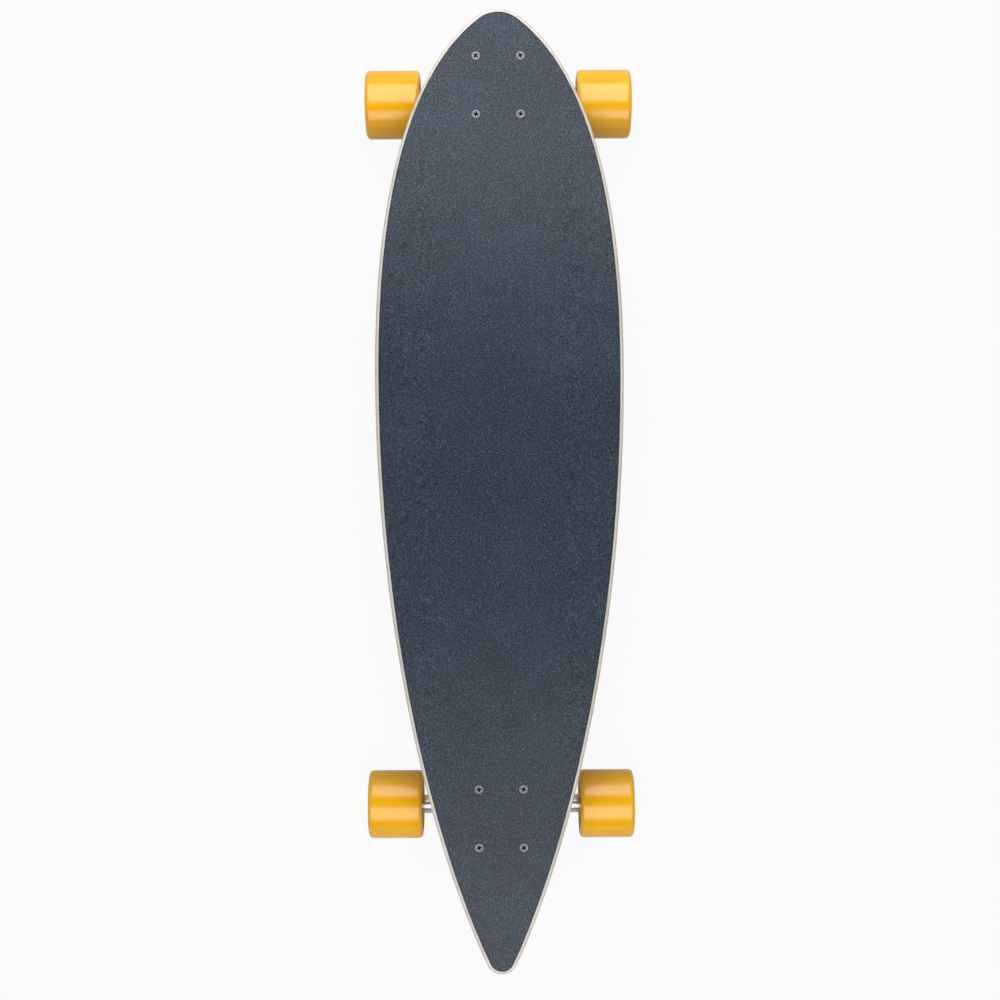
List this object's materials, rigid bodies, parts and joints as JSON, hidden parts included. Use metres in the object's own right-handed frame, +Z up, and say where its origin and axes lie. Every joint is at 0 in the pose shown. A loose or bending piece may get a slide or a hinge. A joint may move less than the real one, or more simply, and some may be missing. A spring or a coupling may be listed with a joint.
{
  "type": "longboard skateboard",
  "caption": "Pintail longboard skateboard: a gripped maple deck on two steering reverse-kingpin trucks with free-rolling urethane wheels on ball bearings.",
  "frame": {"origin": "on the ground, under the middle of the deck", "axes": "+X towards the nose, +Y to the left, +Z up"},
  "size_m": [0.8949, 0.256, 0.1178],
  "materials": {
    "maple": "clear lacquer",
    "grip": "gritty",
    "zinc_steel": "zinc plated",
    "axle_steel": "ground",
    "cast_aluminium": "polished casting",
    "riser_rubber": "matt",
    "cup_urethane": "matt",
    "bushing_urethane": "satin",
    "wheel_urethane": "gloss",
    "core_nylon": "satin",
    "bearing_steel": "polished",
    "shield_steel": "pressed"
  },
  "bodies": {
    "board": {"deck": "maple", "grip_tape": "grip", "front_mounting_screws": "zinc_steel", "front_mounting_nuts": "zinc_steel", "front_riser_pad": "riser_rubber", "front_baseplate": "cast_aluminium", "front_pivot_cup": "cup_urethane", "front_kingpin": "zinc_steel", "front_kingpin_nut": "zinc_steel", "front_cup_washers": "zinc_steel", "front_boardside_bushing": "bushing_urethane", "front_roadside_bushing": "bushing_urethane", "rear_mounting_screws": "zinc_steel", "rear_mounting_nuts": "zinc_steel", "rear_riser_pad": "riser_rubber", "rear_baseplate": "cast_aluminium", "rear_pivot_cup": "cup_urethane", "rear_kingpin": "zinc_steel", "rear_kingpin_nut": "zinc_steel", "rear_cup_washers": "zinc_steel", "rear_boardside_bushing": "bushing_urethane", "rear_roadside_bushing": "bushing_urethane"},
    "front_axle_assembly": {"front_hanger": "cast_aluminium", "front_axle": "axle_steel", "front_axle_nuts": "zinc_steel", "front_speed_washers": "axle_steel", "front_bearing_inner_rings": "bearing_steel", "front_bearing_spacers": "axle_steel"},
    "front_left_wheel": {"front_left_tyre": "wheel_urethane", "front_left_core": "core_nylon", "front_left_bearing_outer_rings": "bearing_steel", "front_left_bearing_shields": "shield_steel"},
    "front_left_ball_set": {"front_left_bearing_cages": "shield_steel", "front_left_bearing_balls": "bearing_steel"},
    "front_right_wheel": {"front_right_tyre": "wheel_urethane", "front_right_core": "core_nylon", "front_right_bearing_outer_rings": "bearing_steel", "front_right_bearing_shields": "shield_steel"},
    "front_right_ball_set": {"front_right_bearing_cages": "shield_steel", "front_right_bearing_balls": "bearing_steel"},
    "rear_axle_assembly": {"rear_hanger": "cast_aluminium", "rear_axle": "axle_steel", "rear_axle_nuts": "zinc_steel", "rear_speed_washers": "axle_steel", "rear_bearing_inner_rings": "bearing_steel", "rear_bearing_spacers": "axle_steel"},
    "rear_left_wheel": {"rear_left_tyre": "wheel_urethane", "rear_left_core": "core_nylon", "rear_left_bearing_outer_rings": "bearing_steel", "rear_left_bearing_shields": "shield_steel"},
    "rear_left_ball_set": {"rear_left_bearing_cages": "shield_steel", "rear_left_bearing_balls": "bearing_steel"},
    "rear_right_wheel": {"rear_right_tyre": "wheel_urethane", "rear_right_core": "core_nylon", "rear_right_bearing_outer_rings": "bearing_steel", "rear_right_bearing_shields": "shield_steel"},
    "rear_right_ball_set": {"rear_right_bearing_cages": "shield_steel", "rear_right_bearing_balls": "bearing_steel"}
  },
  "joints": [
    {"name": "front_steer", "type": "hinge", "parent": "board", "child": "front_axle_assembly", "pos_m": [0.35366, 0, 0.02967], "axis": [0.7071, 0, 0.7071], "range_deg": [-18, 18], "stiffness_Nm_per_rad": 40, "deforming": ["front_boardside_bushing", "front_roadside_bushing"]},
    {"name": "front_left_wheel_spin", "type": "hinge", "parent": "front_axle_assembly", "child": "front_left_wheel", "pos_m": [0.3777, 0.102, 0.0325], "axis": [0, 1, 0], "continuous": true},
    {"name": "front_left_ball_spin", "type": "hinge", "parent": "front_axle_assembly", "child": "front_left_ball_set", "pos_m": [0.3777, 0.102, 0.0325], "axis": [0, 1, 0], "continuous": true},
    {"name": "front_right_wheel_spin", "type": "hinge", "parent": "front_axle_assembly", "child": "front_right_wheel", "pos_m": [0.3777, -0.102, 0.0325], "axis": [0, 1, 0], "continuous": true},
    {"name": "front_right_ball_spin", "type": "hinge", "parent": "front_axle_assembly", "child": "front_right_ball_set", "pos_m": [0.3777, -0.102, 0.0325], "axis": [0, 1, 0], "continuous": true},
    {"name": "rear_steer", "type": "hinge", "parent": "board", "child": "rear_axle_assembly", "pos_m": [-0.27956, 0, 0.02967], "axis": [-0.7071, 0, 0.7071], "range_deg": [-18, 18], "stiffness_Nm_per_rad": 40, "deforming": ["rear_boardside_bushing", "rear_roadside_bushing"]},
    {"name": "rear_left_wheel_spin", "type": "hinge", "parent": "rear_axle_assembly", "child": "rear_left_wheel", "pos_m": [-0.3036, 0.102, 0.0325], "axis": [0, 1, 0], "continuous": true},
    {"name": "rear_left_ball_spin", "type": "hinge", "parent": "rear_axle_assembly", "child": "rear_left_ball_set", "pos_m": [-0.3036, 0.102, 0.0325], "axis": [0, 1, 0], "continuous": true},
    {"name": "rear_right_wheel_spin", "type": "hinge", "parent": "rear_axle_assembly", "child": "rear_right_wheel", "pos_m": [-0.3036, -0.102, 0.0325], "axis": [0, 1, 0], "continuous": true},
    {"name": "rear_right_ball_spin", "type": "hinge", "parent": "rear_axle_assembly", "child": "rear_right_ball_set", "pos_m": [-0.3036, -0.102, 0.0325], "axis": [0, 1, 0], "continuous": true}
  ],
  "couplings": [
    {"joint": "front_left_ball_spin", "follows": "front_left_wheel_spin", "ratio": 0.6304},
    {"joint": "front_right_ball_spin", "follows": "front_right_wheel_spin", "ratio": 0.6304},
    {"joint": "rear_left_ball_spin", "follows": "rear_left_wheel_spin", "ratio": 0.6304},
    {"joint": "rear_right_ball_spin", "follows": "rear_right_wheel_spin", "ratio": 0.6304}
  ]
}
